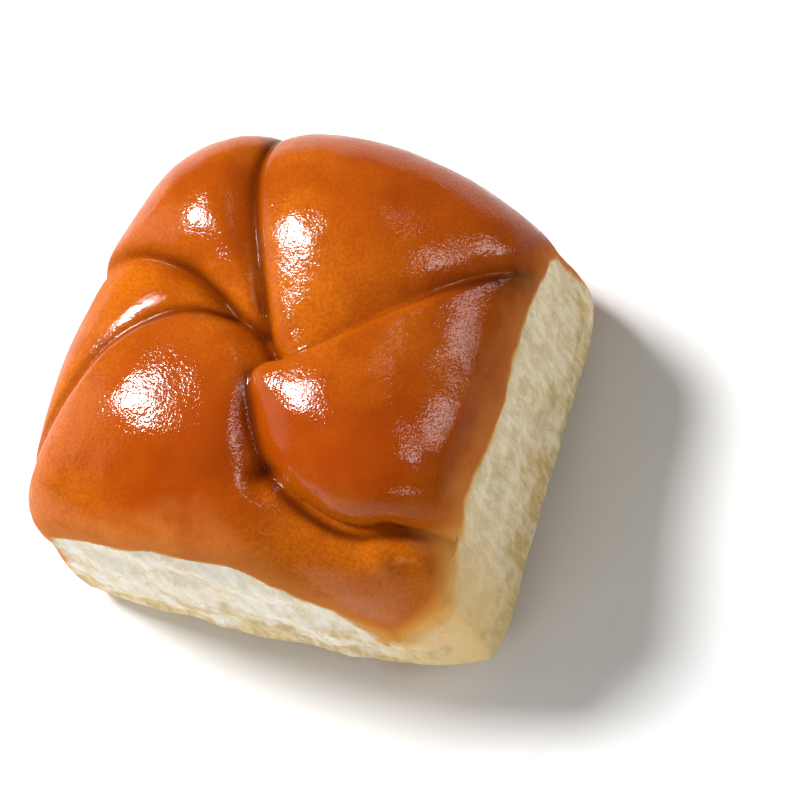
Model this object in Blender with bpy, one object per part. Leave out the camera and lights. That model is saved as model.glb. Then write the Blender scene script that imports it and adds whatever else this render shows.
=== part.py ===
"""Hand-torn bread: one soft glazed bun pulled from the corner of its batch.

The bun stands on its flat base at z = 0. Two of its sides baked free and are rounded crust: -X and +Y.
The other two, -Y and +X, were torn from the neighbouring buns and are flat, open crumb under the crust.
The top is five lobes of folded dough that meet near the middle and overlap at their edges.
"""

import bpy
import numpy as np

# Driving dimensions, in metres
HEIGHT = 0.0600
WIDEST = 0.0240
SHOULDER_FULLNESS = 2.90
FULLER_TO_THE_BACK = 1.10
FULLER_TO_THE_LEFT = 0.90
SLACKER_TO_THE_RIGHT = 0.60
TORN_RIGHT = 0.0450
TORN_RIGHT_LEAN = 0.0040
TORN_FRONT = -0.0424
TORN_FRONT_LEAN = 0.0022
TORN_EDGE_ROUND = 0.0035
BASE_ROUND = 0.0070
CRUST_TUCK = 0.0020
FOOT_FADE = (0.006, 0.030)
TURN_STEP = 0.02

# The bun's widest outline seen from above, as it would be if it had not been pressed against its neighbours.
# Each point is x, y and how much further out the foot of the bun reaches there.
PLAN_OUTLINE = (
    (-0.0368, -0.0395, 0.0010),
    (-0.0270, -0.0435, 0.0010),
    (-0.0150, -0.0465, 0.0000),
    (0.0000, -0.0480, 0.0000),
    (0.0110, -0.0465, 0.0000),
    (0.0210, -0.0425, 0.0010),
    (0.0315, -0.0408, 0.0012),
    (0.0395, -0.0382, 0.0012),
    (0.0444, -0.0349, 0.0012),
    (0.0466, -0.0267, 0.0010),
    (0.0467, -0.0150, 0.0000),
    (0.0462, 0.0000, 0.0010),
    (0.0464, 0.0130, 0.0015),
    (0.0466, 0.0247, 0.0015),
    (0.0416, 0.0338, 0.0005),
    (0.0308, 0.0390, 0.0000),
    (0.0200, 0.0414, 0.0000),
    (0.0082, 0.0425, 0.0000),
    (-0.0050, 0.0419, 0.0000),
    (-0.0176, 0.0373, 0.0000),
    (-0.0272, 0.0293, 0.0000),
    (-0.0332, 0.0182, 0.0000),
    (-0.0377, 0.0072, 0.0000),
    (-0.0398, -0.0070, 0.0000),
    (-0.0400, -0.0190, 0.0000),
    (-0.0396, -0.0315, 0.0000),
)

# Where the crust stops on the torn sides: direction from the middle in degrees, height
CRUST_EDGE = (
    (-140, 0.0280),
    (-125, 0.0390),
    (-116, 0.0440),
    (-100, 0.0485),
    (-82, 0.0480),
    (-70, 0.0420),
    (-62, 0.0330),
    (-54, 0.0200),
    (-48, 0.0280),
    (-39, 0.0370),
    (-25, 0.0460),
    (-13, 0.0430),
    (0, 0.0415),
    (20, 0.0410),
    (33, 0.0370),
    (42, 0.0240),
)
CRUST_LAP = 0.0012
FOLD_STOP = (-0.0010, 0.0015)
OPEN_DROP = 0.0022
CORNER_REACH = 0.0700

# Each lobe is a closed outline seen from above. A point is x, y and how far in the edge rounds over.
# A lobe runs on under the ones that lie over it, and past the sides of the bun.
# Its back is a dome of that radius about its top, made long and slender along its run (degrees),
# which falls away no further than its limit.
LOBES = {
    "upper_left": dict(
        lift=0.0005,
        top=(-0.0180, 0.0260),
        dome=0.046,
        run=102,
        slender=0.9,
        limit=0.0028,
        depth=0.0120,
        outline=(
            (-0.0600, -0.0010, 0.007),
            (-0.0400, 0.0024, 0.007),
            (-0.0300, 0.0052, 0.007),
            (-0.0235, 0.0070, 0.007),
            (-0.0185, 0.0070, 0.006),
            (-0.0130, 0.0060, 0.006),
            (-0.0070, 0.0032, 0.005),
            (-0.0010, -0.0010, 0.006),
            (0.0050, -0.0020, 0.010),
            (0.0045, 0.0060, 0.013),
            (0.0015, 0.0150, 0.014),
            (-0.0020, 0.0220, 0.014),
            (-0.0045, 0.0300, 0.014),
            (-0.0020, 0.0420, 0.013),
            (0.0000, 0.0600, 0.014),
            (-0.0600, 0.0650, 0.010),
        ),
    ),
    "upper_right": dict(
        lift=0.0005,
        top=(0.0108, 0.0250),
        dome=0.050,
        run=102,
        slender=0.9,
        limit=0.0028,
        depth=0.0120,
        outline=(
            (-0.0170, 0.0600, 0.010),
            (-0.0140, 0.0410, 0.008),
            (-0.0112, 0.0330, 0.006),
            (-0.0095, 0.0275, 0.005),
            (-0.0073, 0.0210, 0.005),
            (-0.0045, 0.0140, 0.005),
            (-0.0014, 0.0070, 0.005),
            (0.0013, 0.0015, 0.005),
            (0.0048, -0.0045, 0.006),
            (0.0110, -0.0105, 0.010),
            (0.0200, -0.0060, 0.012),
            (0.0290, 0.0020, 0.012),
            (0.0360, 0.0090, 0.012),
            (0.0430, 0.0150, 0.012),
            (0.0490, 0.0180, 0.012),
            (0.0700, 0.0200, 0.012),
            (0.0700, 0.0700, 0.010),
        ),
    ),
    "right": dict(
        lift=0.0054,
        top=(0.0390, -0.0190),
        dome=0.036,
        run=-36,
        slender=0.55,
        limit=0.0080,
        depth=0.0130,
        outline=(
            (0.0700, 0.0290, 0.006),
            (0.0480, 0.0268, 0.005),
            (0.0416, 0.0252, 0.004),
            (0.0372, 0.0224, 0.004),
            (0.0266, 0.0118, 0.004),
            (0.0162, 0.0021, 0.004),
            (0.0092, -0.0040, 0.0035),
            (0.0055, -0.0057, 0.003),
            (0.0023, -0.0076, 0.005),
            (0.0013, -0.0110, 0.008),
            (0.0021, -0.0150, 0.011),
            (0.0045, -0.0200, 0.013),
            (0.0073, -0.0253, 0.014),
            (0.0108, -0.0284, 0.014),
            (0.0160, -0.0306, 0.014),
            (0.0230, -0.0322, 0.014),
            (0.0285, -0.0312, 0.013),
            (0.0325, -0.0290, 0.012),
            (0.0430, -0.0262, 0.012),
            (0.0700, -0.0238, 0.012),
        ),
    ),
    "lower_left": dict(
        lift=0.0010,
        top=(-0.0070, -0.0284),
        dome=0.062,
        run=102,
        slender=0.8,
        limit=0.0028,
        depth=0.0120,
        outline=(
            (-0.0470, -0.0600, 0.008),
            (-0.0395, -0.0360, 0.006),
            (-0.0349, -0.0254, 0.005),
            (-0.0321, -0.0188, 0.005),
            (-0.0272, -0.0095, 0.005),
            (-0.0206, -0.0030, 0.005),
            (-0.0126, 0.0015, 0.005),
            (-0.0049, 0.0020, 0.006),
            (0.0025, 0.0000, 0.010),
            (0.0078, -0.0060, 0.012),
            (0.0085, -0.0120, 0.012),
            (0.0098, -0.0170, 0.012),
            (0.0128, -0.0215, 0.012),
            (0.0180, -0.0245, 0.014),
            (0.0260, -0.0257, 0.013),
            (0.0450, -0.0210, 0.012),
            (0.0700, -0.0200, 0.012),
            (0.0700, -0.0700, 0.010),
        ),
    ),
    "left": dict(
        lift=-0.0014,
        top=(-0.0190, -0.0135),
        dome=0.045,
        run=45,
        slender=0.7,
        limit=0.0028,
        depth=0.0120,
        outline=(
            (-0.0600, -0.0500, 0.010),
            (-0.0330, -0.0400, 0.010),
            (-0.0290, -0.0300, 0.010),
            (-0.0262, -0.0215, 0.012),
            (-0.0215, -0.0140, 0.012),
            (-0.0150, -0.0078, 0.012),
            (-0.0080, -0.0040, 0.012),
            (0.0000, -0.0025, 0.012),
            (-0.0015, 0.0025, 0.012),
            (-0.0050, 0.0050, 0.012),
            (-0.0110, 0.0095, 0.012),
            (-0.0180, 0.0122, 0.010),
            (-0.0250, 0.0132, 0.007),
            (-0.0330, 0.0140, 0.006),
            (-0.0600, 0.0200, 0.006),
        ),
    ),
}
DEEPEST_FOLD = 0.0140
DEEPEST_AT_SIDE = 0.0035
SIDE_SHALLOWING = (0.026, 0.041)
DEPTH_SOFTNESS = 4
EDGE_FULLNESS = 3
OUTSIDE_STEEPNESS = 3.0

# Small hollows (and, where the depth is negative, bumps) in the crust: x, y, radius, depth
HOLLOWS = (
    (0.0106, -0.0262, 0.0024, 0.0022),
    (0.0065, -0.0250, 0.0040, 0.0007),
    (0.0313, -0.0330, 0.0024, -0.0009),
)
# The extra fall along the lobes' edges and how far in that reaches,
# and the heights between which the folds fade out down the sides
CROWN = 0.0014
CROWN_REACH = 0.0120
FOLD_FADE = (0.008, 0.030)

# How finely outlines are walked, and how the distances to them are blended away from the edge
OUTLINE_STEPS = 14
EDGE_BLEND = 6
EDGE_BLEND_SCALE = 1.178
EDGE_BLEND_START = (0.0004, 0.0020)

# The open crumb of the torn sides is slightly uneven
CRUMB_RELIEF = 0.0003
CRUMB_WAVES = 14
CRUMB_WAVE_LENGTHS = (0.009, 0.024)
SEED = 7

CRUST_COLOUR = (0.52, 0.15, 0.02)
CRUST_ROUGHNESS = 0.25
CRUMB_COLOUR = (0.80, 0.68, 0.46)
CRUMB_ROUGHNESS = 0.9

# Grid of the mesh: cells across the top, rows from the top's edge to the widest level, rows below that
TOP_CELLS = 120
ARC_ROWS = 22
WALL_ROWS = 20

# The fine grid is thinned to this many triangles, which gather along the folds
SOLID_TRIANGLES = 11700
BASE_SNAP = 0.00005


def smoothstep(low, high, value):
    t = np.clip((value - low) / (high - low), 0.0, 1.0)
    return t * t * (3.0 - 2.0 * t)


def closed_spline(points, steps):
    """Catmull-Rom curve through a closed ring of points."""
    p = np.asarray(points, float)
    before, after, beyond = np.roll(p, 1, axis=0), np.roll(p, -1, axis=0), np.roll(p, -2, axis=0)
    t = (np.arange(steps) / steps)[None, :, None]
    p0, p1, p2, p3 = (q[:, None, :] for q in (before, p, after, beyond))
    curve = p1 + 0.5 * t * (p2 - p0 + t * (2 * p0 - 5 * p1 + 4 * p2 - p3 + t * (3 * (p1 - p2) + p3 - p0)))
    return curve.reshape(-1, p.shape[1])


def plan_reach(angle):
    """Distance from the middle to the widest outline, and the extra reach of its foot, seen from above."""
    curve = closed_spline(PLAN_OUTLINE, OUTLINE_STEPS)
    turn = np.arctan2(curve[:, 1], curve[:, 0])
    order = np.argsort(turn)
    radius = np.interp(angle, turn[order], np.hypot(curve[:, 0], curve[:, 1])[order], period=2 * np.pi)
    foot = np.interp(angle, turn[order], curve[order, 2], period=2 * np.pi)
    return radius, foot


def edge_distance(x, y, outline):
    """Smooth distance in from a closed outline (negative outside), and how far its edge rounds over there.

    The distance blends all the edges near a point, so that a lobe has no ridge along its middle.
    """
    start = closed_spline(outline, OUTLINE_STEPS)
    end = np.roll(start, -1, axis=0)
    weight = np.zeros(x.shape)
    weighted_round = np.zeros(x.shape)
    nearest = np.full(x.shape, np.inf)
    inside = np.zeros(x.shape, bool)
    for (x0, y0, r0), (x1, y1, r1) in zip(start, end):
        dx, dy = x1 - x0, y1 - y0
        length = np.hypot(dx, dy)
        t = np.clip(((x - x0) * dx + (y - y0) * dy) / length**2, 0.0, 1.0)
        gap = np.hypot(x - x0 - t * dx, y - y0 - t * dy)
        nearest = np.minimum(nearest, gap)
        middle_gap = np.maximum(np.hypot(x - (x0 + x1) / 2, y - (y0 + y1) / 2), length / 2)
        part = length / middle_gap**EDGE_BLEND
        weight += part
        weighted_round += part * (r0 + r1) / 2
        if dy != 0:
            inside ^= ((y0 > y) != (y1 > y)) & (x < x0 + (y - y0) * dx / dy)
    blended = (weight / EDGE_BLEND_SCALE) ** (-1 / (EDGE_BLEND - 1))
    distance = nearest + (blended - nearest) * smoothstep(*EDGE_BLEND_START, nearest)
    return np.where(inside, distance, -nearest), weighted_round / weight


def dome_drop(x, y, lobe):
    """How far a lobe falls away from its top: it is domed, more across its run than along it."""
    run = np.radians(lobe["run"])
    along = lobe["slender"] * (x * np.cos(run) + y * np.sin(run))
    across = y * np.cos(run) - x * np.sin(run)
    fall = (along**2 + across**2) / (2 * lobe["dome"])
    return lobe["limit"] * (1 - np.exp(-fall / lobe["limit"]))


def lobe_drops(x, y):
    """How far each lobe of folded dough lies below the full bun."""
    drops = []
    for lobe in LOBES.values():
        distance, radius = edge_distance(x, y, lobe["outline"])
        share = np.clip(1 - distance / radius, 0.0, 1.0)
        drop = lobe["depth"] * (1 - np.sqrt(1 - share**EDGE_FULLNESS)) - lobe["lift"]
        drop = drop + CROWN * np.clip(1 - distance / CROWN_REACH, 0.0, 1.0) ** 2
        drop = drop + dome_drop(x - lobe["top"][0], y - lobe["top"][1], lobe)
        drop = drop + np.where(distance < 0, -distance * OUTSIDE_STEEPNESS, 0.0)
        drops.append(drop)
    return np.array(drops)


def fold_drop(x, y):
    """How far the bun's top lies below the full bun: the highest lobe shows at each point."""
    drop = np.min(lobe_drops(x, y), axis=0)
    deepest = DEEPEST_FOLD + (DEEPEST_AT_SIDE - DEEPEST_FOLD) * smoothstep(*SIDE_SHALLOWING, np.abs(x))
    drop = drop / (1 + (drop / deepest) ** DEPTH_SOFTNESS) ** (1 / DEPTH_SOFTNESS)
    for hollow_x, hollow_y, radius, depth in HOLLOWS:
        drop = drop + depth * np.exp(-((x - hollow_x) ** 2 + (y - hollow_y) ** 2) / radius**2)
    return drop


def crumb_relief(along, z, seed):
    """Gentle unevenness of a torn side, as a sum of seeded waves."""
    random = np.random.default_rng(seed)
    total = np.zeros(along.shape)
    for _ in range(CRUMB_WAVES):
        angle = random.uniform(0, np.pi)
        length = random.uniform(*CRUMB_WAVE_LENGTHS)
        phase = random.uniform(0, 2 * np.pi)
        total += np.sin(2 * np.pi * (along * np.cos(angle) + z * np.sin(angle)) / length + phase)
    return CRUMB_RELIEF * total / np.sqrt(CRUMB_WAVES / 2)


def surface(u, v, w):
    """Points of the bun for points (u, v, w) of a unit cube's top (w = 1) and sides (w from 1 down to -1).

    Also gives how far each point lies past the crust's edge on a torn side: above zero there is bare crumb.
    """
    size = np.maximum(np.abs(u), np.abs(v))
    angle = np.arctan2(v, u)
    radius, foot = plan_reach(angle)
    growth = (plan_reach(angle + TURN_STEP)[0] - plan_reach(angle - TURN_STEP)[0]) / (2 * TURN_STEP)
    out_x = (np.cos(angle) * radius + np.sin(angle) * growth) / np.hypot(radius, growth)
    out_y = (np.sin(angle) * radius - np.cos(angle) * growth) / np.hypot(radius, growth)

    # the arc from the top down to the widest level, then the upright side
    m = SHOULDER_FULLNESS + FULLER_TO_THE_BACK * np.clip(np.sin(angle), 0.0, 1.0) ** 2
    m = m + FULLER_TO_THE_LEFT * np.clip(-np.cos(angle), 0.0, 1.0) ** 2
    m = m - SLACKER_TO_THE_RIGHT * np.clip(np.cos(angle), 0.0, 1.0) ** 2
    up = np.clip(w, 0.0, 1.0)
    length = (size**m + up**m) ** (1 / m)
    reach, rise = size / length, up / length
    z = np.where(w < 0, WIDEST * (1 + w), WIDEST + (HEIGHT - WIDEST) * rise)
    level = radius * reach + foot * (1 - smoothstep(*FOOT_FADE, z))
    x, y = level * np.cos(angle), level * np.sin(angle)

    # folds go in along the surface's normal, and fill up where the crumb is open
    side = reach ** (m - 1)
    upward = rise ** (m - 1) * radius / (HEIGHT - WIDEST)
    norm = np.hypot(side, upward)
    side, upward = side / norm, upward / norm
    crust_end = np.interp(np.degrees(angle), *zip(*CRUST_EDGE))
    whole = np.minimum(past_torn_edge(x, y, z), crust_end - z)
    drop = fold_drop(x, y) * smoothstep(*FOLD_FADE, z)
    drop = drop - np.maximum(drop - OPEN_DROP, 0.0) * smoothstep(*FOLD_STOP, whole)
    z = z - upward * drop
    inset = side * drop + CRUST_TUCK * np.clip(1 - z / WIDEST, 0.0, 1.0) ** 2
    x, y = x - out_x * inset, y - out_y * inset

    # the torn sides, and the rounding under at the base
    bare = np.minimum(past_torn_edge(x, y, z), crust_end - z)
    right, front = torn_planes(x, y, z)
    x = soft_limit(x, right)
    y = -soft_limit(-y, -front)
    low = np.clip(1 - z / BASE_ROUND, 0.0, 1.0)
    under = BASE_ROUND * (1 - np.sqrt(1 - low * low))
    return x - out_x * under, y - out_y * under, z, bare


def torn_planes(x, y, z):
    """Where the two torn sides lie: the right one's x and the front one's y, leaning in and uneven."""
    right = TORN_RIGHT - TORN_RIGHT_LEAN * z / HEIGHT + crumb_relief(y, z, SEED)
    front = TORN_FRONT + TORN_FRONT_LEAN * z / HEIGHT + crumb_relief(x, z, SEED + 1)
    return right, front


def past_torn_edge(x, y, z):
    """How far points of the full bun lie past the nearest torn side, or past the corner between the two."""
    right, front = torn_planes(x, y, z)
    return CRUST_LAP + np.maximum.reduce([x - right, front - y, x - y - CORNER_REACH])


def soft_limit(value, limit):
    """The smaller of two lengths, rounded where they meet."""
    gap = np.clip(np.abs(value - limit) / TORN_EDGE_ROUND, 0.0, 1.0)
    return np.minimum(value, limit) - TORN_EDGE_ROUND / 4 * (1 - gap) ** 2


def bun_grid():
    """Points of a unit cube's top and sides, and their faces, welded where they meet."""
    across = np.linspace(-1, 1, TOP_CELLS + 1)
    below = -np.sin(np.linspace(0, np.pi / 2, WALL_ROWS + 1))[1:]
    up = np.concatenate([np.linspace(1, 0, ARC_ROWS + 1), below])[::-1]
    points, faces = [], []

    def sheet(place, lines):
        first = len(points)
        wide = len(across)
        points.extend(place(p, q) for q in lines for p in across)
        for row in range(len(lines) - 1):
            for column in range(wide - 1):
                k = first + row * wide + column
                faces.append((k, k + 1, k + 1 + wide, k + wide))

    sheet(lambda p, q: (p, q, 1.0), across)
    sheet(lambda p, q: (p, -1.0, q), up)
    sheet(lambda p, q: (1.0, p, q), up)
    sheet(lambda p, q: (-p, 1.0, q), up)
    sheet(lambda p, q: (-1.0, -p, q), up)
    points = np.array(points)
    _, first, index = np.unique(np.round(points, 6), axis=0, return_index=True, return_inverse=True)
    index = index.reshape(-1)
    return points[first], [[int(index[k]) for k in face] for face in faces]


def base_ring(grid):
    """The lowest ring of grid points, in order round the base as seen from below."""
    low = np.flatnonzero(grid[:, 2] == -1.0)
    turn = np.arctan2(grid[low, 1], grid[low, 0])
    return [int(k) for k in low[np.argsort(-turn)]]


def simple_material(name, colour, roughness):
    material = bpy.data.materials.new(name)
    material.use_nodes = True
    shader = material.node_tree.nodes["Principled BSDF"]
    shader.inputs["Base Color"].default_value = (*colour, 1.0)
    shader.inputs["Roughness"].default_value = roughness
    return material


def fine_mesh():
    """The whole closed bun on the fine grid, with the base filled by a fan of triangles."""
    grid, faces = bun_grid()
    x, y, z, bare = surface(grid[:, 0], grid[:, 1], grid[:, 2])
    ring = base_ring(grid)
    middle = len(grid)
    faces += [[ring[k - 1], ring[k], middle] for k in range(len(ring))]
    x, y, z, bare = (np.append(values, 0.0) for values in (x, y, z, bare))
    mesh = bpy.data.meshes.new("fine")
    mesh.from_pydata(np.stack([x, y, z], axis=1).tolist(), [], faces)
    mesh.materials.append(simple_material("crust", CRUST_COLOUR, CRUST_ROUGHNESS))
    mesh.materials.append(simple_material("crumb", CRUMB_COLOUR, CRUMB_ROUGHNESS))
    for polygon in mesh.polygons:
        polygon.material_index = int(np.mean([bare[k] for k in polygon.vertices]) > 0)
        polygon.use_smooth = len(polygon.vertices) == 4
    return mesh


def thinned(obj, triangles):
    """The object's mesh collapsed to about this many triangles."""
    obj.data.calc_loop_triangles()
    modifier = obj.modifiers.new("thin", "DECIMATE")
    modifier.ratio = triangles / len(obj.data.loop_triangles)
    modifier.use_collapse_triangulate = True
    bpy.context.view_layer.update()
    mesh = bpy.data.meshes.new_from_object(obj.evaluated_get(bpy.context.evaluated_depsgraph_get()))
    obj.modifiers.clear()
    return mesh


def torn_bread():
    obj = bpy.data.objects.new("torn_bread", fine_mesh())
    bpy.context.scene.collection.objects.link(obj)
    obj.data = thinned(obj, SOLID_TRIANGLES)
    points = np.array([vertex.co for vertex in obj.data.vertices])
    points[points[:, 2] < BASE_SNAP, 2] = 0.0
    points[:, :2] -= (points[:, :2].min(axis=0) + points[:, :2].max(axis=0)) / 2
    obj.data.vertices.foreach_set("co", points.astype(np.float32).ravel())
    obj.data.update()
    return obj


for old in list(bpy.data.objects):
    bpy.data.objects.remove(old)
torn_bread()
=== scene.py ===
import bpy
import numpy as np
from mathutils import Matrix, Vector, noise


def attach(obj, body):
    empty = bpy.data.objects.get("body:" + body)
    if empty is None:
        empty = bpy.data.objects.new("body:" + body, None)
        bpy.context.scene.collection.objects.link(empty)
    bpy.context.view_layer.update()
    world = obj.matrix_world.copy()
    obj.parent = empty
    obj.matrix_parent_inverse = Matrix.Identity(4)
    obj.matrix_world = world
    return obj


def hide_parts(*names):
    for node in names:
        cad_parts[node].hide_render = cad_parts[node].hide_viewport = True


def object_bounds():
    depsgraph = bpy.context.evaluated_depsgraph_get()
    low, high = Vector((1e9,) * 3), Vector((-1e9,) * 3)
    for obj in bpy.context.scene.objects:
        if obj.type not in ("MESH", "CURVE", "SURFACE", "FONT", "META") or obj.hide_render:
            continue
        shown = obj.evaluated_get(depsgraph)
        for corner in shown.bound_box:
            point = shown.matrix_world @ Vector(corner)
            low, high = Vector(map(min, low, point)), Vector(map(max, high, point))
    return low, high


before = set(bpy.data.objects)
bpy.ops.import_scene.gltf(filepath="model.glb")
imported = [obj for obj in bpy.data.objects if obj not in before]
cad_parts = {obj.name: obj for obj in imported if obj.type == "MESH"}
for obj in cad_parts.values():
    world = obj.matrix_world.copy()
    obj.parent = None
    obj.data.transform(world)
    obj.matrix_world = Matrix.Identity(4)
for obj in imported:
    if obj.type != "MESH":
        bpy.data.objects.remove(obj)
cad_low, cad_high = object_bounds()
scene = bpy.context.scene


# The bun.
# One soft milk-bread roll, egg-washed, baked against two neighbours, then pulled off them by hand. The dough
# was folded over itself before it rose, so the top is five overlapping lobes. Crust and crumb are one piece.

# Its height before the lobes swell or sink, and the level where it is widest
HEIGHT = 0.0600
WIDEST = 0.0240
# How full its shoulders are, as the power of a rounded box: a higher one is squarer
SHOULDER_FULLNESS = 2.90
FULLER_TO_THE_BACK = 1.10
FULLER_TO_THE_LEFT = 0.90
SLACKER_TO_THE_RIGHT = 0.60
# Its rounding under at the base, and how far the crust tucks in towards it
BASE_ROUND = 0.0070
CRUST_TUCK = 0.0020

# The bun's widest outline seen from above, as it would be if it had not been pressed against its neighbours.
# Each point is x, y and how much further out the foot of the bun reaches there.
PLAN_OUTLINE = (
    (-0.0368, -0.0395, 0.0010),
    (-0.0270, -0.0435, 0.0010),
    (-0.0150, -0.0465, 0.0000),
    (0.0000, -0.0480, 0.0000),
    (0.0110, -0.0465, 0.0000),
    (0.0210, -0.0425, 0.0010),
    (0.0315, -0.0408, 0.0012),
    (0.0395, -0.0382, 0.0012),
    (0.0444, -0.0349, 0.0012),
    (0.0466, -0.0267, 0.0010),
    (0.0467, -0.0150, 0.0000),
    (0.0462, 0.0000, 0.0010),
    (0.0464, 0.0130, 0.0015),
    (0.0466, 0.0247, 0.0015),
    (0.0416, 0.0338, 0.0005),
    (0.0308, 0.0390, 0.0000),
    (0.0200, 0.0414, 0.0000),
    (0.0082, 0.0425, 0.0000),
    (-0.0050, 0.0419, 0.0000),
    (-0.0176, 0.0373, 0.0000),
    (-0.0272, 0.0293, 0.0000),
    (-0.0332, 0.0182, 0.0000),
    (-0.0377, 0.0072, 0.0000),
    (-0.0398, -0.0070, 0.0000),
    (-0.0400, -0.0190, 0.0000),
    (-0.0396, -0.0315, 0.0000),
)
# The heights between which that extra reach fades out, how many points a curve gets for each one given, and
# the turn in radians over which the outline's slope is measured
FOOT_FADE = (0.006, 0.030)
OUTLINE_STEPS = 14
TURN_STEP = 0.02


def closed_spline(points, steps):
    """Smooth curve through a closed ring of points."""
    p = np.asarray(points, float)
    before, after, beyond = np.roll(p, 1, axis=0), np.roll(p, -1, axis=0), np.roll(p, -2, axis=0)
    t = (np.arange(steps) / steps)[None, :, None]
    p0, p1, p2, p3 = (q[:, None, :] for q in (before, p, after, beyond))
    curve = p1 + 0.5 * t * (p2 - p0 + t * (2 * p0 - 5 * p1 + 4 * p2 - p3 + t * (3 * (p1 - p2) + p3 - p0)))
    return curve.reshape(-1, p.shape[1])


def plan_reach(angle):
    """Distance from the middle to the widest outline, and the extra reach of its foot, seen from above."""
    curve = closed_spline(PLAN_OUTLINE, OUTLINE_STEPS)
    turn = np.arctan2(curve[:, 1], curve[:, 0])
    order = np.argsort(turn)
    radius = np.interp(angle, turn[order], np.hypot(curve[:, 0], curve[:, 1])[order], period=2 * np.pi)
    foot = np.interp(angle, turn[order], curve[order, 2], period=2 * np.pi)
    return radius, foot


# Each lobe is a closed outline seen from above. A point is x, y and how far in the edge rounds over.
# A lobe runs on under the ones that lie over it, and past the sides of the bun.
# Its back is a dome of that radius about its top, made long and slender along its run (degrees),
# which falls away no further than its limit.
LOBES = {
    "upper_left": dict(
        lift=0.0005,
        top=(-0.0180, 0.0260),
        dome=0.046,
        run=102,
        slender=0.9,
        limit=0.0028,
        depth=0.0120,
        outline=(
            (-0.0600, -0.0010, 0.007),
            (-0.0400, 0.0024, 0.007),
            (-0.0300, 0.0052, 0.007),
            (-0.0235, 0.0070, 0.007),
            (-0.0185, 0.0070, 0.006),
            (-0.0130, 0.0060, 0.006),
            (-0.0070, 0.0032, 0.005),
            (-0.0010, -0.0010, 0.006),
            (0.0050, -0.0020, 0.010),
            (0.0045, 0.0060, 0.013),
            (0.0015, 0.0150, 0.014),
            (-0.0020, 0.0220, 0.014),
            (-0.0045, 0.0300, 0.014),
            (-0.0020, 0.0420, 0.013),
            (0.0000, 0.0600, 0.014),
            (-0.0600, 0.0650, 0.010),
        ),
    ),
    "upper_right": dict(
        lift=0.0005,
        top=(0.0108, 0.0250),
        dome=0.050,
        run=102,
        slender=0.9,
        limit=0.0028,
        depth=0.0120,
        outline=(
            (-0.0170, 0.0600, 0.010),
            (-0.0140, 0.0410, 0.008),
            (-0.0112, 0.0330, 0.006),
            (-0.0095, 0.0275, 0.005),
            (-0.0073, 0.0210, 0.005),
            (-0.0045, 0.0140, 0.005),
            (-0.0014, 0.0070, 0.005),
            (0.0013, 0.0015, 0.005),
            (0.0048, -0.0045, 0.006),
            (0.0110, -0.0105, 0.010),
            (0.0200, -0.0060, 0.012),
            (0.0290, 0.0020, 0.012),
            (0.0360, 0.0090, 0.012),
            (0.0430, 0.0150, 0.012),
            (0.0490, 0.0180, 0.012),
            (0.0700, 0.0200, 0.012),
            (0.0700, 0.0700, 0.010),
        ),
    ),
    "right": dict(
        lift=0.0054,
        top=(0.0390, -0.0190),
        dome=0.036,
        run=-36,
        slender=0.55,
        limit=0.0080,
        depth=0.0130,
        outline=(
            (0.0700, 0.0290, 0.006),
            (0.0480, 0.0268, 0.005),
            (0.0416, 0.0252, 0.004),
            (0.0372, 0.0224, 0.004),
            (0.0266, 0.0118, 0.004),
            (0.0162, 0.0021, 0.004),
            (0.0092, -0.0040, 0.0035),
            (0.0055, -0.0057, 0.003),
            (0.0023, -0.0076, 0.005),
            (0.0013, -0.0110, 0.008),
            (0.0021, -0.0150, 0.011),
            (0.0045, -0.0200, 0.013),
            (0.0073, -0.0253, 0.014),
            (0.0108, -0.0284, 0.014),
            (0.0160, -0.0306, 0.014),
            (0.0230, -0.0322, 0.014),
            (0.0285, -0.0312, 0.013),
            (0.0325, -0.0290, 0.012),
            (0.0430, -0.0262, 0.012),
            (0.0700, -0.0238, 0.012),
        ),
    ),
    "lower_left": dict(
        lift=0.0010,
        top=(-0.0070, -0.0284),
        dome=0.062,
        run=102,
        slender=0.8,
        limit=0.0028,
        depth=0.0120,
        outline=(
            (-0.0470, -0.0600, 0.008),
            (-0.0395, -0.0360, 0.006),
            (-0.0349, -0.0254, 0.005),
            (-0.0321, -0.0188, 0.005),
            (-0.0272, -0.0095, 0.005),
            (-0.0206, -0.0030, 0.005),
            (-0.0126, 0.0015, 0.005),
            (-0.0049, 0.0020, 0.006),
            (0.0025, 0.0000, 0.010),
            (0.0078, -0.0060, 0.012),
            (0.0085, -0.0120, 0.012),
            (0.0098, -0.0170, 0.012),
            (0.0128, -0.0215, 0.012),
            (0.0180, -0.0245, 0.014),
            (0.0260, -0.0257, 0.013),
            (0.0450, -0.0210, 0.012),
            (0.0700, -0.0200, 0.012),
            (0.0700, -0.0700, 0.010),
        ),
    ),
    "left": dict(
        lift=-0.0014,
        top=(-0.0190, -0.0135),
        dome=0.045,
        run=45,
        slender=0.7,
        limit=0.0028,
        depth=0.0120,
        outline=(
            (-0.0600, -0.0500, 0.010),
            (-0.0330, -0.0400, 0.010),
            (-0.0290, -0.0300, 0.010),
            (-0.0262, -0.0215, 0.012),
            (-0.0215, -0.0140, 0.012),
            (-0.0150, -0.0078, 0.012),
            (-0.0080, -0.0040, 0.012),
            (0.0000, -0.0025, 0.012),
            (-0.0015, 0.0025, 0.012),
            (-0.0050, 0.0050, 0.012),
            (-0.0110, 0.0095, 0.012),
            (-0.0180, 0.0122, 0.010),
            (-0.0250, 0.0132, 0.007),
            (-0.0330, 0.0140, 0.006),
            (-0.0600, 0.0200, 0.006),
        ),
    ),
}
# How full a lobe's rounded edge is, how steeply it falls away outside its outline, and the extra fall along
# its edge with how far in that reaches
EDGE_FULLNESS = 3
OUTSIDE_STEEPNESS = 3.0
CROWN = 0.0014
CROWN_REACH = 0.0120
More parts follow.
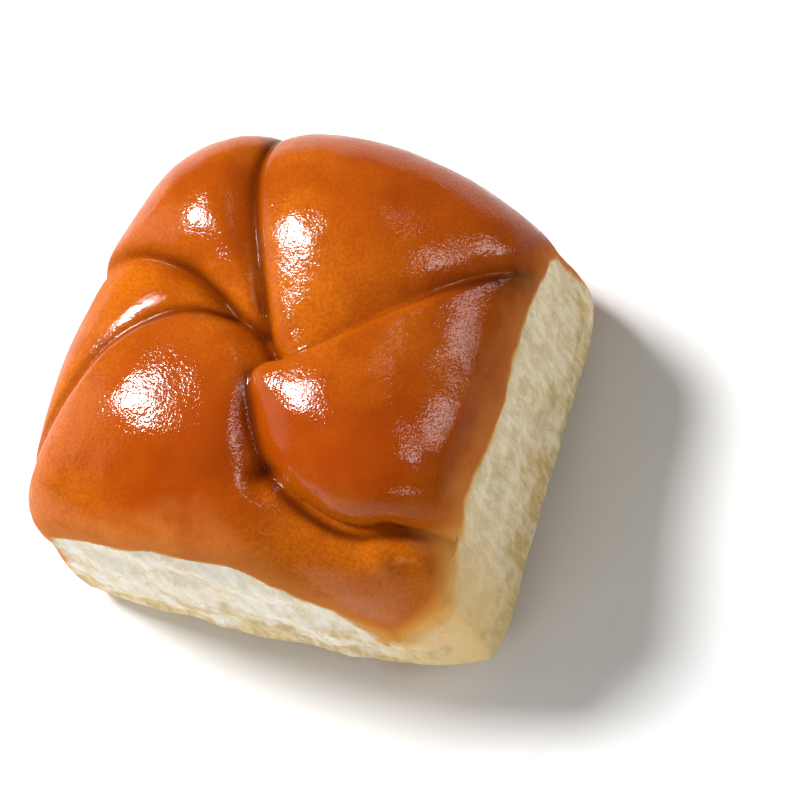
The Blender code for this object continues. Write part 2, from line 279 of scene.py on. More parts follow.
# How the distances to a lobe's edges are blended: the power, its scale, and how far in the blend sets in
EDGE_BLEND = 6
EDGE_BLEND_SCALE = 1.178
EDGE_BLEND_START = (0.0004, 0.0020)


def smoothstep(low, high, value):
    """Smooth step from 0 to 1 as the value goes from low to high."""
    t = np.clip((value - low) / (high - low), 0.0, 1.0)
    return t * t * (3.0 - 2.0 * t)


def edge_distance(x, y, outline):
    """Smooth distance in from a closed outline (negative outside), and how far its edge rounds over there.

    The distance blends all the edges near a point, so that a lobe has no ridge along its middle.
    """
    start = closed_spline(outline, OUTLINE_STEPS)
    end = np.roll(start, -1, axis=0)
    weight = np.zeros(x.shape)
    weighted_round = np.zeros(x.shape)
    nearest = np.full(x.shape, np.inf)
    inside = np.zeros(x.shape, bool)
    for (x0, y0, r0), (x1, y1, r1) in zip(start, end):
        dx, dy = x1 - x0, y1 - y0
        length = np.hypot(dx, dy)
        t = np.clip(((x - x0) * dx + (y - y0) * dy) / length**2, 0.0, 1.0)
        gap = np.hypot(x - x0 - t * dx, y - y0 - t * dy)
        nearest = np.minimum(nearest, gap)
        middle_gap = np.maximum(np.hypot(x - (x0 + x1) / 2, y - (y0 + y1) / 2), length / 2)
        part = length / middle_gap**EDGE_BLEND
        weight += part
        weighted_round += part * (r0 + r1) / 2
        if dy != 0:
            inside ^= ((y0 > y) != (y1 > y)) & (x < x0 + (y - y0) * dx / dy)
    blended = (weight / EDGE_BLEND_SCALE) ** (-1 / (EDGE_BLEND - 1))
    distance = nearest + (blended - nearest) * smoothstep(*EDGE_BLEND_START, nearest)
    return np.where(inside, distance, -nearest), weighted_round / weight


def dome_drop(x, y, lobe):
    """How far a lobe falls away from its top: it is domed, more across its run than along it."""
    run = np.radians(lobe["run"])
    along = lobe["slender"] * (x * np.cos(run) + y * np.sin(run))
    across = y * np.cos(run) - x * np.sin(run)
    fall = (along**2 + across**2) / (2 * lobe["dome"])
    return lobe["limit"] * (1 - np.exp(-fall / lobe["limit"]))


def lobe_drops(x, y):
    """How far each lobe of folded dough lies below the full bun."""
    drops = []
    for lobe in LOBES.values():
        distance, radius = edge_distance(x, y, lobe["outline"])
        share = np.clip(1 - distance / radius, 0.0, 1.0)
        drop = lobe["depth"] * (1 - np.sqrt(1 - share**EDGE_FULLNESS)) - lobe["lift"]
        drop = drop + CROWN * np.clip(1 - distance / CROWN_REACH, 0.0, 1.0) ** 2
        drop = drop + dome_drop(x - lobe["top"][0], y - lobe["top"][1], lobe)
        drop = drop + np.where(distance < 0, -distance * OUTSIDE_STEEPNESS, 0.0)
        drops.append(drop)
    return np.array(drops)


# The deepest that the folds go, in the middle and at the sides, the distances from the middle between which
# it changes, and how softly a fold comes to its deepest
DEEPEST_FOLD = 0.0140
DEEPEST_AT_SIDE = 0.0035
SIDE_SHALLOWING = (0.026, 0.041)
DEPTH_SOFTNESS = 4
# Small hollows (and, where the depth is negative, bumps) in the crust: x, y, radius, depth
HOLLOWS = (
    (0.0106, -0.0262, 0.0024, 0.0022),
    (0.0065, -0.0250, 0.0040, 0.0007),
    (0.0313, -0.0330, 0.0024, -0.0009),
)


def fold_drop(x, y):
    """How far the bun's top lies below the full bun: the highest lobe shows at each point."""
    drop = np.min(lobe_drops(x, y), axis=0)
    deepest = DEEPEST_FOLD + (DEEPEST_AT_SIDE - DEEPEST_FOLD) * smoothstep(*SIDE_SHALLOWING, np.abs(x))
    drop = drop / (1 + (drop / deepest) ** DEPTH_SOFTNESS) ** (1 / DEPTH_SOFTNESS)
    for hollow_x, hollow_y, radius, depth in HOLLOWS:
        drop = drop + depth * np.exp(-((x - hollow_x) ** 2 + (y - hollow_y) ** 2) / radius**2)
    return drop


# The torn sides, one at the right and one at the front: where each lies, how far it leans in towards the top,
# and how far its edges round over
TORN_RIGHT = 0.0450
TORN_RIGHT_LEAN = 0.0040
TORN_FRONT = -0.0424
TORN_FRONT_LEAN = 0.0022
TORN_EDGE_ROUND = 0.0035
# How far out the corner between the two lies, as x less y, and how far short of them the crust stops
CORNER_REACH = 0.0700
CRUST_LAP = 0.0012
# Their open crumb is slightly uneven
CRUMB_RELIEF = 0.0003
CRUMB_WAVES = 14
CRUMB_WAVE_LENGTHS = (0.009, 0.024)
SEED = 7


def crumb_relief(along, z, seed):
    """Gentle unevenness of a torn side, as a sum of seeded waves."""
    random = np.random.default_rng(seed)
    total = np.zeros(along.shape)
    for _ in range(CRUMB_WAVES):
        angle = random.uniform(0, np.pi)
        length = random.uniform(*CRUMB_WAVE_LENGTHS)
        phase = random.uniform(0, 2 * np.pi)
        total += np.sin(2 * np.pi * (along * np.cos(angle) + z * np.sin(angle)) / length + phase)
    return CRUMB_RELIEF * total / np.sqrt(CRUMB_WAVES / 2)


def torn_planes(x, y, z):
    """Where the two torn sides lie: the right one's x and the front one's y, leaning in and uneven."""
    right = TORN_RIGHT - TORN_RIGHT_LEAN * z / HEIGHT + crumb_relief(y, z, SEED)
    front = TORN_FRONT + TORN_FRONT_LEAN * z / HEIGHT + crumb_relief(x, z, SEED + 1)
    return right, front


def past_torn_edge(x, y, z):
    """How far points of the full bun lie past the nearest torn side, or past the corner between the two."""
    right, front = torn_planes(x, y, z)
    return CRUST_LAP + np.maximum.reduce([x - right, front - y, x - y - CORNER_REACH])


def soft_limit(value, limit):
    """The smaller of two lengths, rounded where they meet."""
    gap = np.clip(np.abs(value - limit) / TORN_EDGE_ROUND, 0.0, 1.0)
    return np.minimum(value, limit) - TORN_EDGE_ROUND / 4 * (1 - gap) ** 2


# Where the crust stops on the torn sides: direction from the middle in degrees, height
CRUST_EDGE = (
    (-140, 0.0280),
    (-125, 0.0390),
    (-116, 0.0440),
    (-100, 0.0485),
    (-82, 0.0480),
    (-70, 0.0420),
    (-62, 0.0330),
    (-54, 0.0200),
    (-48, 0.0280),
    (-39, 0.0370),
    (-25, 0.0460),
    (-13, 0.0430),
    (0, 0.0415),
    (20, 0.0410),
    (33, 0.0370),
    (42, 0.0240),
)
# Where the crumb is open a fold gets no deeper than this. That sets in between these distances past the
# crust's edge. The folds fade out between these heights down the sides.
OPEN_DROP = 0.0022
FOLD_STOP = (-0.0010, 0.0015)
FOLD_FADE = (0.008, 0.030)


def surface(u, v, w):
    """Points of the bun for points (u, v, w) of a unit cube's top (w = 1) and sides (w from 1 down to -1).

    Also gives how far each point lies past the crust's edge on a torn side: above zero there is bare crumb.
    """
    size = np.maximum(np.abs(u), np.abs(v))
    angle = np.arctan2(v, u)
    radius, foot = plan_reach(angle)
    growth = (plan_reach(angle + TURN_STEP)[0] - plan_reach(angle - TURN_STEP)[0]) / (2 * TURN_STEP)
    out_x = (np.cos(angle) * radius + np.sin(angle) * growth) / np.hypot(radius, growth)
    out_y = (np.sin(angle) * radius - np.cos(angle) * growth) / np.hypot(radius, growth)

    # the arc from the top down to the widest level, then the upright side
    m = SHOULDER_FULLNESS + FULLER_TO_THE_BACK * np.clip(np.sin(angle), 0.0, 1.0) ** 2
    m = m + FULLER_TO_THE_LEFT * np.clip(-np.cos(angle), 0.0, 1.0) ** 2
    m = m - SLACKER_TO_THE_RIGHT * np.clip(np.cos(angle), 0.0, 1.0) ** 2
    up = np.clip(w, 0.0, 1.0)
    length = (size**m + up**m) ** (1 / m)
    reach, rise = size / length, up / length
    z = np.where(w < 0, WIDEST * (1 + w), WIDEST + (HEIGHT - WIDEST) * rise)
    level = radius * reach + foot * (1 - smoothstep(*FOOT_FADE, z))
    x, y = level * np.cos(angle), level * np.sin(angle)

    # folds go in along the surface's normal, and fill up where the crumb is open
    side = reach ** (m - 1)
    upward = rise ** (m - 1) * radius / (HEIGHT - WIDEST)
    norm = np.hypot(side, upward)
    side, upward = side / norm, upward / norm
    crust_end = np.interp(np.degrees(angle), *zip(*CRUST_EDGE))
    whole = np.minimum(past_torn_edge(x, y, z), crust_end - z)
    drop = fold_drop(x, y) * smoothstep(*FOLD_FADE, z)
    drop = drop - np.maximum(drop - OPEN_DROP, 0.0) * smoothstep(*FOLD_STOP, whole)
    z = z - upward * drop
    inset = side * drop + CRUST_TUCK * np.clip(1 - z / WIDEST, 0.0, 1.0) ** 2
    x, y = x - out_x * inset, y - out_y * inset

    # the torn sides, and the rounding under at the base
    bare = np.minimum(past_torn_edge(x, y, z), crust_end - z)
    right, front = torn_planes(x, y, z)
    x = soft_limit(x, right)
    y = -soft_limit(-y, -front)
    low = np.clip(1 - z / BASE_ROUND, 0.0, 1.0)
    under = BASE_ROUND * (1 - np.sqrt(1 - low * low))
    return x - out_x * under, y - out_y * under, z, bare


# The mesh is a grid: cells across the top, rows from the top's edge to the widest level, and rows below that
TOP_CELLS = 170
ARC_ROWS = 48
WALL_ROWS = 44


def bun_grid():
    """Points of a unit cube's top and sides, and their faces, welded where they meet."""
    across = np.linspace(-1, 1, TOP_CELLS + 1)
    below = -np.sin(np.linspace(0, np.pi / 2, WALL_ROWS + 1))[1:]
    up = np.concatenate([np.linspace(1, 0, ARC_ROWS + 1), below])[::-1]
    points, faces = [], []

    def sheet(place, lines):
        first = len(points)
        wide = len(across)
        points.extend(place(p, q) for q in lines for p in across)
        for row in range(len(lines) - 1):
            for column in range(wide - 1):
                k = first + row * wide + column
                faces.append((k, k + 1, k + 1 + wide, k + wide))

    sheet(lambda p, q: (p, q, 1.0), across)
    sheet(lambda p, q: (p, -1.0, q), up)
    sheet(lambda p, q: (1.0, p, q), up)
    sheet(lambda p, q: (-p, 1.0, q), up)
    sheet(lambda p, q: (-1.0, -p, q), up)
    points = np.array(points)
    _, first, index = np.unique(np.round(points, 6), axis=0, return_index=True, return_inverse=True)
    index = index.reshape(-1)
    return points[first], [[int(index[k]) for k in face] for face in faces]


def base_ring(grid):
    """The lowest ring of grid points, in order round the base as seen from below."""
    low = np.flatnonzero(grid[:, 2] == -1.0)
    turn = np.arctan2(grid[low, 1], grid[low, 0])
    return [int(k) for k in low[np.argsort(-turn)]]


# Smooth noise is shifted by so much for each seed
NOISE_SHIFT = (7.3, 3.1, 5.7)
# Torn strands slant across a torn side, and are about three times as long as they are thick
STRAND_TURN = ((0.80, 0.0, 0.60), (0.0, 1.0, 0.0), (-0.60, 0.0, 0.80))
STRAND_STRETCH = (1.0, 1.0, 0.33)
# Three lobes are a little rounder at their tops than the plain form. Each of these swellings is a low mound,
# narrow along its run (degrees) and wide across it, and they fade in between these heights.
SWELL_NARROW = 0.0075
SWELL_WIDE = 0.0140
SWELL_FADE = (0.0400, 0.0500)
SWELLS = (
    {"top": (-0.0181, 0.0168), "run": -38.0, "height": 0.00058},
    {"top": (0.0032, 0.0160), "run": 90.0, "height": 0.00075},
    {"top": (-0.0190, -0.0215), "run": 62.0, "height": 0.00050},
)


def wave(points, size, seed):
    """Smooth noise between -1 and 1 over points in metres, whose bumps are about `size` metres across."""
    shift = Vector([seed * step for step in NOISE_SHIFT])
    return np.array([noise.noise(Vector(point) / size + shift) for point in points])


def fibres(points, seed):
    """Torn strands: short, fine streaks that run slantwise down a side, on top of soft shreds."""
    slant = points @ np.array(STRAND_TURN) * np.array(STRAND_STRETCH)
    streaks = 0.5 * wave(slant, 0.0012, seed) + 0.9 * wave(slant, 0.0028, seed + 1)
    return streaks + 0.9 * wave(points, 0.0055, seed + 2)


def smoothed(points, faces, weight, rounds):
    """Each point moved towards the middle of its neighbours by its weight, a few times over."""
    quads = np.array(faces)
    pairs = np.concatenate([quads[:, [0, 1]], quads[:, [1, 2]], quads[:, [2, 3]], quads[:, [3, 0]]])
    count = np.bincount(pairs.ravel(), minlength=len(points))[:, None]
    for _ in range(rounds):
        total = np.zeros(points.shape)
        np.add.at(total, pairs[:, 0], points[pairs[:, 1]])
        np.add.at(total, pairs[:, 1], points[pairs[:, 0]])
        points = points + (total / count - points) * weight[:, None]
    return points


def swelling(x, y):
    """How much rounder three of the lobes are at their tops than the plain form, as extra height."""
    height = np.zeros(len(x))
    for swell in SWELLS:
        away_x, away_y = x - swell["top"][0], y - swell["top"][1]
        turn = np.radians(swell["run"])
        along = (away_x * np.cos(turn) + away_y * np.sin(turn)) / SWELL_NARROW
        across = (away_y * np.cos(turn) - away_x * np.sin(turn)) / SWELL_WIDE
        height = height + swell["height"] * np.exp(-(along**2 + across**2) / 2)
    return height


grid, quads = bun_grid()
x, y, z, bare = surface(grid[:, 0], grid[:, 1], grid[:, 2])
points = np.stack([x, y, z], axis=1)
drop = fold_drop(x, y)

# painted crease shade at each point: a thin line where two lobes meet, in a wider shade, weaker on the left
CREASE_CORE = 0.0036
CREASE_SHADE = 0.0082
CREASE_SHARES = (0.55, 0.45)
CREASE_DEPTHS = (0.0006, 0.0024)
CREASE_AT_LEFT = 0.4
CREASE_FADE = (-0.0240, -0.0040)
CREASE_SMOOTHING = 3
lowest, next_lowest = np.sort(lobe_drops(x, y), axis=0)[:2]
gap = next_lowest - lowest
core, shade = smoothstep(0.0, CREASE_CORE, gap), smoothstep(0.0, CREASE_SHADE, gap)
painted_crease_shade = 1 - CREASE_SHARES[0] * core - CREASE_SHARES[1] * shade
painted_crease_shade = painted_crease_shade * smoothstep(*CREASE_DEPTHS, drop)
painted_crease_shade = painted_crease_shade * (CREASE_AT_LEFT + (1 - CREASE_AT_LEFT) * smoothstep(*CREASE_FADE, x))
painted_crease_shade = smoothed(painted_crease_shade[:, None], quads, np.full(len(x), 0.5), CREASE_SMOOTHING)[:, 0]

# deep folds are softened, but the base's rim stays where it is
SOFTENED_DEPTHS = (0.0015, 0.0040)
SOFTENING = 0.5
SMOOTHING_ROUNDS = 3
rim = grid[:, 2] == -1.0
soften = np.where(rim, 0.0, SOFTENING * smoothstep(*SOFTENED_DEPTHS, drop))
points = smoothed(points, quads, soften, SMOOTHING_ROUNDS)

# the crust's torn edge wanders a little, and nothing further from it than the band moves
BORDER_WANDER = 0.0006
BORDER_BAND = 0.006
wander = BORDER_WANDER * (0.6 * wave(points, 0.0060, 1) + 0.5 * wave(points, 0.0018, 2))
bare = bare + np.where(np.abs(bare) < BORDER_BAND, wander, 0.0)

# shreds on the crumb, which lies a crust's thickness further in, and gentle dimples on the crust
CRUST_THICKNESS = 0.0004
CRUST_END = 0.0007
FIBRE_RELIEF = 0.00034
SKIN_RELIEF = 0.00010
SMOOTH_FOOT = 0.0030
open_crumb = smoothstep(0.0, CRUST_END, bare)
mesh = bpy.data.meshes.new("torn_bread_shape")
mesh.from_pydata(points.tolist(), [], quads)
normals = np.array([vertex.normal for vertex in mesh.vertices])
clear = smoothstep(0.0, SMOOTH_FOOT, points[:, 2])
relief = open_crumb * (FIBRE_RELIEF * fibres(points, 11) - CRUST_THICKNESS)
relief = relief + (1 - open_crumb) * SKIN_RELIEF * wave(points, 0.0042, 21)
points = points + normals * (relief * clear)[:, None]

# the base is closed with a fan round its middle, and the bun is set where the solid stands
ring = base_ring(grid)
middle = len(points)
fan = [[ring[k - 1], ring[k], middle] for k in range(len(ring))]
points = np.vstack([points, [0.0, 0.0, 0.0]])
bare, drop, painted_crease_shade = np.append(bare, 0.0), np.append(drop, 0.0), np.append(painted_crease_shade, 0.0)
points[:, :2] -= (points[:, :2].min(axis=0) + points[:, :2].max(axis=0)) / 2
points[:, :2] += np.array([(cad_low.x + cad_high.x) / 2, (cad_low.y + cad_high.y) / 2])
points[:, 2] += swelling(points[:, 0], points[:, 1]) * smoothstep(*SWELL_FADE, points[:, 2])

# a golden line runs below the crust's edge, wider at the corner between the torn sides
CORNER = (0.0360, -0.0350)
CORNER_GLOW = 0.0140
GOLDEN_LINE = 0.0016
GOLDEN_CORNER = 0.0090
GOLDEN_TINT = 0.42
off_corner = (points[:, 0] - CORNER[0]) ** 2 + (points[:, 1] - CORNER[1]) ** 2
near_corner = np.exp(-(off_corner / CORNER_GLOW**2))
crust_end = np.interp(np.degrees(np.arctan2(grid[:, 1], grid[:, 0])), *zip(*CRUST_EDGE))
past = np.append(crust_end, 0.0) - points[:, 2]
golden = 1 - smoothstep(0.0, 1.0, past / (GOLDEN_LINE + GOLDEN_CORNER * near_corner))
golden = np.maximum(golden, GOLDEN_TINT * near_corner)

# the mesh keeps what the finish reads at each point: lengths in millimetres, the rest from 0 to 1
MILLIMETRES = 1000
FOLD_RANGE = (-0.005, 0.02)
mesh = bpy.data.meshes.new("torn_bread_skin")
mesh.from_pydata(points.tolist(), [], quads + fan)
mesh.shade_smooth()
for name, values in (
    ("bare", bare * MILLIMETRES),
    ("fold", np.clip(drop, *FOLD_RANGE) * MILLIMETRES),
    ("painted_crease_shade", painted_crease_shade),
    ("golden", golden),
    ("corner", near_corner),
):
    mesh.attributes.new(name, "FLOAT", "POINT").data.foreach_set("value", values.astype(np.float32))
bun = bpy.data.objects.new("torn_bread_skin", mesh)
scene.collection.objects.link(bun)

# The bun's finish is a thin clear glaze over orange-brown crust, paler where the crust thins out at its torn
# edge. Inside is pale, feathery milk-bread crumb, and the underside is dull, dry and browned by the tray.
finish = bpy.data.materials.new("glazed_crust_and_crumb")
finish.use_nodes = True
tree = finish.node_tree


def feed(slot, value):
    """Gives an input a number, a colour or a set of three, or links another node's output to it."""
    if isinstance(value, bpy.types.NodeSocket):
        tree.links.new(value, slot)
    elif slot.type == "RGBA":
        slot.default_value = (*value, 1.0)
    else:
        slot.default_value = value


def node(kind, **settings):
    """A new shader node. Each setting is one of its properties, or else one of its inputs."""
    made = tree.nodes.new(kind)
    for name, value in settings.items():
        if hasattr(made, name):
            setattr(made, name, value)
        else:
            feed(made.inputs[name.replace("_", " ")], value)
    return made


def noted(name):
    """What the mesh keeps under that name."""
    return node("ShaderNodeAttribute", attribute_name=name).outputs["Fac"]


def spread(value, low, high, out_low=0.0, out_high=1.0):
    """Smooth step of a value from low to high, as the range out_low to out_high."""
    step = node("ShaderNodeMapRange", interpolation_type="SMOOTHSTEP", Value=value)
    for name, number in (("From Min", low), ("From Max", high), ("To Min", out_low), ("To Max", out_high)):
        feed(step.inputs[name], number)
    return step.outputs["Result"]


def reckon(operation, first, second):
    """One step of arithmetic on two values."""
    step = node("ShaderNodeMath", operation=operation)
    for slot, value in zip(step.inputs, (first, second)):
        feed(slot, value)
    return step.outputs["Value"]


def plus(first, second):
    return reckon("ADD", first, second)


def times(first, second):
    return reckon("MULTIPLY", first, second)


def mix(share, first, second):
    """Mix of two numbers by a share."""
    mixer = node("ShaderNodeMix", data_type="FLOAT", Factor=share)
    feed(mixer.inputs[2], first)
    feed(mixer.inputs[3], second)
    return mixer.outputs[0]


def blend(share, first, second):
    """Mix of two colours by a share."""
    mixer = node("ShaderNodeMix", data_type="RGBA", Factor=share)
    feed(mixer.inputs[6], first)
    feed(mixer.inputs[7], second)
    return mixer.outputs[2]


place = node("ShaderNodeTexCoord").outputs["Object"]
STRAND_SLANT = 0.64


def grain(size, detail=2.0, roughness=0.5, stretch=None):
    """Noise whose blotches are about `size` metres across; with a stretch it follows the torn strands."""
    where = place
    if stretch is not None:
        turned = node("ShaderNodeMapping", Rotation=(0.0, STRAND_SLANT, 0.0), Scale=stretch, Vector=place)
        where = turned.outputs["Vector"]
    cloud = node("ShaderNodeTexNoise", Scale=1.0 / size, Detail=detail, Roughness=roughness, Vector=where)
    return cloud.outputs["Fac"]


def mottle(size, detail, low, high, out_low, out_high):
    """Blotches of that size, as the range out_low to out_high."""
    return spread(grain(size, detail), low, high, out_low, out_high)


past_crust, fold_depth = noted("bare"), noted("fold")
crease_shading, golden_line, at_corner = noted("painted_crease_shade"), noted("golden"), noted("corner")
axes = node("ShaderNodeSeparateXYZ", Vector=place)
to_right, to_back, height = axes.outputs["X"], axes.outputs["Y"], axes.outputs["Z"]

# where there is crumb (1) and where crust (0): the crust's edge is frayed, and the base is crust too
frayed = plus(past_crust, mottle(0.0009, 3.0, 0.30, 0.70, -0.18, 0.18))
crumb = times(spread(frayed, -0.35, 0.55), spread(height, 0.0001, 0.0004))

# how dark the crust is, as browning with painted shade and light: most on the front lobes, with painted shade
# on the upper left one and the far back right, painted light on the left ledge, and less down the sides
UPPER_LEFT_PAINTED_SHADE = 0.56
upper_left = times(spread(to_right, -0.0010, -0.0090), spread(to_back, 0.0020, 0.0120))
browning_and_shade = plus(spread(to_back, 0.0120, -0.0200, 0.12, 1.00), mottle(0.0140, 2.0, 0.35, 0.65, -0.12, 0.16))
browning_and_shade = times(browning_and_shade, spread(to_right, -0.0300, -0.0130, 0.40, 1.0))
# painted shade: darker on the upper left lobe
browning_and_shade = plus(browning_and_shade, times(upper_left, UPPER_LEFT_PAINTED_SHADE))
browning_and_shade = times(browning_and_shade, spread(height, 0.0460, 0.0600))
# painted shade: darker towards the far back right
browning_and_shade = plus(browning_and_shade, spread(plus(to_right, to_back), 0.0150, 0.0460, 0.0, 0.75))

# crust colours: brown on golden brown, finely speckled; painted shade darkens the folds and most the creases
GOLDEN_BROWN, BROWN = (0.57, 0.138, 0.0050), (0.36, 0.052, 0.0012)
SPECKLE, BLOTCH = (0.32, 0.047, 0.0012), (0.27, 0.037, 0.0010)
FOLD_SHADE_BROWN, CREASE_SHADE_BROWN = (0.15, 0.016, 0.0008), (0.065, 0.0055, 0.0005)
CREASE_SHADE_STRENGTH = 0.97
crust = blend(browning_and_shade, GOLDEN_BROWN, BROWN)
crust = blend(mottle(0.0006, 2.0, 0.35, 0.65, 0.0, 0.42), crust, SPECKLE)
crust = blend(mottle(0.0070, 3.0, 0.46, 0.66, 0.0, 0.28), crust, BLOTCH)
# painted shade: the deep folds are darkened, as shade falls in them
crust = blend(spread(fold_depth, 3.2, 8.0, 0.0, 0.60), crust, FOLD_SHADE_BROWN)
# painted shade: the creases between lobes are darkened, as shade falls there
crust = blend(times(crease_shading, CREASE_SHADE_STRENGTH), crust, CREASE_SHADE_BROWN)

# the baked sides turn tan towards the tray
TRAY_SIDE_TAN = (0.49, 0.225, 0.075)
uneven_height = plus(height, mottle(0.0120, 3.0, 0.30, 0.70, -0.006, 0.006))
crust = blend(spread(uneven_height, 0.0420, 0.0080, 0.0, 0.62), crust, TRAY_SIDE_TAN)

# the crust pales towards its torn edge, and is golden at the corner, where it is only a film
PALE_CRUST, CRUST_RIM = (0.64, 0.215, 0.050), (0.78, 0.44, 0.16)
CORNER_ORANGE, CORNER_GOLD = (0.72, 0.30, 0.050), (0.75, 0.37, 0.090)
uneven_edge = plus(past_crust, mottle(0.0050, 2.0, 0.30, 0.70, -1.5, 1.5))
crust = blend(spread(uneven_edge, -10.0, 0.0, 0.0, 0.60), crust, PALE_CRUST)
crust = blend(spread(past_crust, -0.9, 0.1, 0.0, 0.50), crust, CRUST_RIM)
corner_band = times(spread(past_crust, -6.0, -1.5), spread(at_corner, 0.20, 0.75, 0.0, 0.80))
crust = blend(corner_band, crust, CORNER_ORANGE)
corner_rim = times(spread(past_crust, -2.6, 0.2), spread(at_corner, 0.20, 0.75, 0.0, 0.90))
crust = blend(corner_rim, crust, CORNER_GOLD)

# the base, browned in blotches by the tray
BASE_BROWN, BASE_TAN = (0.38, 0.14, 0.035), (0.58, 0.29, 0.110)
base = blend(mottle(0.0040, 4.0, 0.35, 0.65, 0.0, 1.0), BASE_BROWN, BASE_TAN)
crust = blend(spread(height, 0.0030, 0.0005), crust, base)

# crumb colours: cream with shaded pores and buttery patches; warmer on the right, darker there as painted
# shade
STRAND_LENGTHS = (1.0, 1.0, 0.22)
CREAM_SHADE, CREAM = (0.80, 0.71, 0.55), (0.92, 0.88, 0.79)
WARM_SHADE, WARM_CREAM = (0.75, 0.59, 0.34), (0.90, 0.77, 0.52)
BUTTER = (0.82, 0.68, 0.43)
strands = grain(0.0018, 4.0, 0.6, STRAND_LENGTHS)
strand_light = spread(strands, 0.34, 0.66)
inside = blend(strand_light, CREAM_SHADE, CREAM)
inside = blend(mottle(0.0060, 3.0, 0.35, 0.70, 0.0, 0.30), inside, BUTTER)
# painted shade: the right torn side's crumb is darker as well as warmer
warm_and_shaded = blend(strand_light, WARM_SHADE, WARM_CREAM)
inside = blend(spread(to_right, 0.0330, 0.0400, 0.0, 0.90), inside, warm_and_shaded)

# thin golden wisps, and a golden line under the crust that turns caramel where it is thickest
WISP_LENGTHS = (1.0, 1.0, 0.55)
WISP_GOLD, GOLD, CARAMEL = (0.72, 0.53, 0.26), (0.80, 0.56, 0.24), (0.75, 0.38, 0.095)
wisp = reckon("ABSOLUTE", reckon("SUBTRACT", grain(0.0060, 4.0, 0.62, WISP_LENGTHS), 0.5), 0.0)
wisp = times(spread(wisp, 0.036, 0.000), mottle(0.0100, 1.0, 0.40, 0.62, 0.10, 0.60))
inside = blend(wisp, inside, WISP_GOLD)
inside = blend(spread(golden_line, 0.0, 0.45, 0.0, 0.85), inside, GOLD)
inside = blend(spread(golden_line, 0.28, 0.88, 0.0, 0.92), inside, CARAMEL)

# the foot of the crumb is browner, and ends in a tan line of tray crust
FOOT_SHADE, FOOT_CREAM = (0.60, 0.42, 0.18), (0.78, 0.62, 0.35)
CORNER_FOOT, TRAY_LINE = (0.78, 0.58, 0.28), (0.56, 0.37, 0.16)
uneven_height = plus(height, mottle(0.0080, 3.0, 0.30, 0.70, -0.012, 0.012))
foot = blend(spread(strands, 0.36, 0.64), FOOT_SHADE, FOOT_CREAM)
inside = blend(spread(uneven_height, 0.0200, 0.0070, 0.0, 0.95), inside, foot)
corner_foot = times(spread(height, 0.0200, 0.0020), spread(at_corner, 0.10, 0.70, 0.0, 0.75))
inside = blend(corner_foot, inside, CORNER_FOOT)
uneven_height = plus(height, mottle(0.0030, 3.0, 0.30, 0.70, -0.0008, 0.0008))
inside = blend(spread(uneven_height, 0.0026, 0.0008, 0.0, 0.75), inside, TRAY_LINE)

# gloss: a clear glaze on the crust alone, thinner in the folds, towards the torn edge and at the corner, and
# worn dull at the foot and under the base
CRUMB_ROUGHNESS = 0.88
glazed = times(reckon("SUBTRACT", 1.0, crumb), spread(height, 0.0010, 0.0090))
glaze = times(spread(fold_depth, 1.5, 4.2, 0.62, 0.13), spread(past_crust, -14.0, -4.0, 1.0, 0.10))
glaze = times(glaze, spread(at_corner, 0.10, 0.60, 1.0, 0.50))

# fine relief: dimpled glaze on the crust, shreds and pores in the crumb
SHRED_LENGTHS = (1.0, 1.0, 0.50)
dimples = plus(times(grain(0.0008, 2.0), 0.066), times(grain(0.00035, 1.0), 0.034))
shreds = plus(times(grain(0.0010, 4.0, 0.65, SHRED_LENGTHS), 0.50), times(strands, 0.45))
bump = node("ShaderNodeBump", Strength=1.0, Distance=0.001, Height=mix(crumb, dimples, shreds))

# only the glaze shines: the dough under it has no gloss of its own, and light sinks a little into the crumb
skin = tree.nodes["Principled BSDF"]
for name, value in (
    ("Base Color", blend(crumb, crust, inside)),
    ("Roughness", mix(glazed, CRUMB_ROUGHNESS, mottle(0.0060, 2.0, 0.35, 0.65, 0.36, 0.44))),
    ("Specular IOR Level", 0.0),
    ("Coat Weight", times(glazed, glaze)),
    ("Coat Roughness", 0.085),
    ("Coat IOR", 1.45),
    ("Subsurface Weight", times(crumb, 0.35)),
    ("Subsurface Radius", (0.0030, 0.0014, 0.0006)),
    ("Subsurface Scale", 1.0),
    ("Normal", bump.outputs["Normal"]),
    ("Coat Normal", bump.outputs["Normal"]),
):
    feed(skin.inputs[name], value)

bun.data.materials.append(finish)
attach(bun, "root")
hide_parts("torn_bread")


# The floor.
# A plain pale sheet, matt, that runs far past the view on every side.
FLOOR_HALF = 6.0
corners = [(side * FLOOR_HALF, end * FLOOR_HALF, 0.0) for side, end in ((-1, -1), (1, -1), (1, 1), (-1, 1))]
floor_mesh = bpy.data.meshes.new("floor")
floor_mesh.from_pydata(corners, [], [(0, 1, 2, 3)])
floor = bpy.data.objects.new("floor", floor_mesh)
scene.collection.objects.link(floor)
sheet = bpy.data.materials.new("pale_sheet")
sheet.use_nodes = True
paint = sheet.node_tree.nodes["Principled BSDF"]
paint.inputs["Base Color"].default_value = (0.95, 0.95, 0.95, 1.0)
paint.inputs["Roughness"].default_value = 0.95
floor.data.materials.append(sheet)


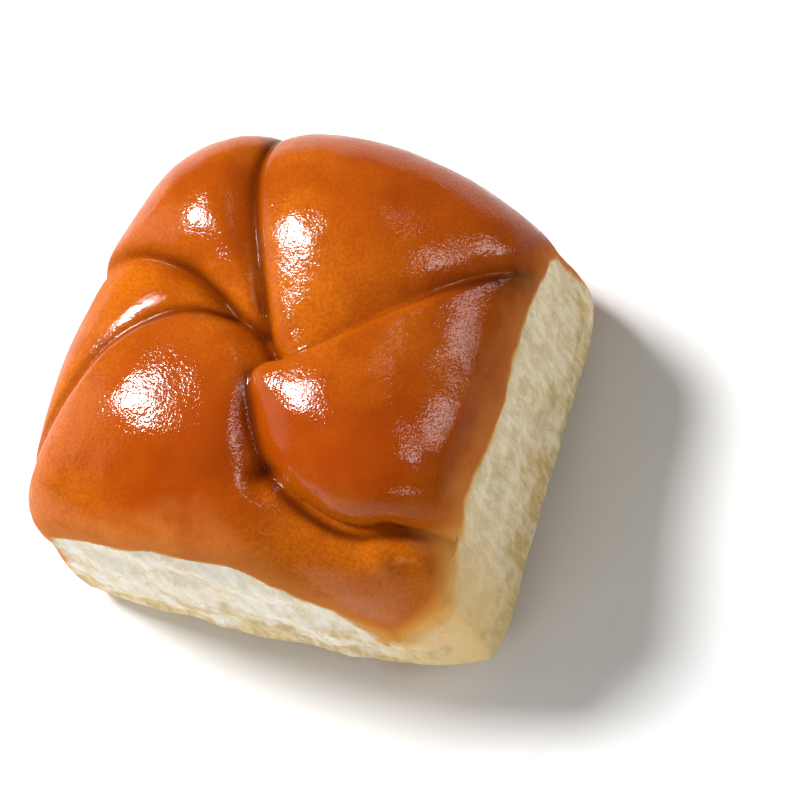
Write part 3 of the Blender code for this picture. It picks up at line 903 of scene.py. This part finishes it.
# The light.
# Ten soft lamps in a dim white room. A large one high on the left is the main light, and a small one in front
# of it gives the brightest glints. The others light the bun, show in its glaze, or both, as each line says.
def lamp(name, direction, distance, width, power, tall=None, mirrored=True, lights=True):
    """An oval lamp aimed at the bun: mirrored if the glaze shows it, and lights if it adds plain light."""
    light = bpy.data.lights.new(name, "AREA")
    light.shape = "ELLIPSE"
    light.size = width
    light.size_y = tall or width
    light.energy = power
    holder = bpy.data.objects.new(name, light)
    scene.collection.objects.link(holder)
    holder.location = Vector(direction).normalized() * distance
    holder.rotation_euler = holder.location.to_track_quat("Z", "Y").to_euler()
    holder.visible_glossy = mirrored
    holder.visible_diffuse = lights


lamp("key", (-0.520, 0.162, 0.844), 1.0, 0.30, 13.0)
lamp("glint", (-0.520, 0.162, 0.844), 0.9, 0.16, 10.0, lights=False)
lamp("right_high", (0.640, 0.250, 0.727), 1.0, 0.24, 1.6, lights=False)
lamp("right_strip", (0.762, 0.520, 0.385), 1.0, 0.16, 2.0, tall=0.44, lights=False)
lamp("right_fill", (0.860, 0.250, 0.450), 1.0, 0.50, 2.0, mirrored=False)
lamp("back_high", (0.230, 0.625, 0.745), 1.0, 0.09, 0.18, lights=False)
lamp("front_right", (0.602, -0.677, 0.424), 1.0, 0.16, 0.9, lights=False)
lamp("left", (-0.930, -0.100, 0.350), 1.2, 1.2, 3.8)
lamp("back", (-0.200, 0.920, 0.330), 1.2, 1.2, 0.5, mirrored=False)
lamp("front", (-0.300, -0.900, 0.330), 1.2, 1.1, 5.5, mirrored=False)

ROOM_BRIGHTNESS = 0.10
room = bpy.data.worlds.new("room")
scene.world = room
room.use_nodes = True
room.node_tree.nodes["Background"].inputs["Color"].default_value = (1.0, 1.0, 1.0, 1.0)
room.node_tree.nodes["Background"].inputs["Strength"].default_value = ROOM_BRIGHTNESS


# The camera.
# It looks steeply down on the bun's near corner from half a metre off, and is rolled 36 degrees to the right,
# which is how the photo shows the bun.
camera_data = bpy.data.cameras.new("camera")
camera_data.sensor_width = 36.0
camera_data.lens = 120.8
camera_data.clip_start = 0.01
camera = bpy.data.objects.new("camera", camera_data)
scene.collection.objects.link(camera)
camera.location = (0.16348, -0.12169, 0.45574)
camera.rotation_euler = [np.radians(angle) for angle in (19.901, 13.696, 16.914)]
scene.camera = camera
scene.view_settings.view_transform = "Standard"
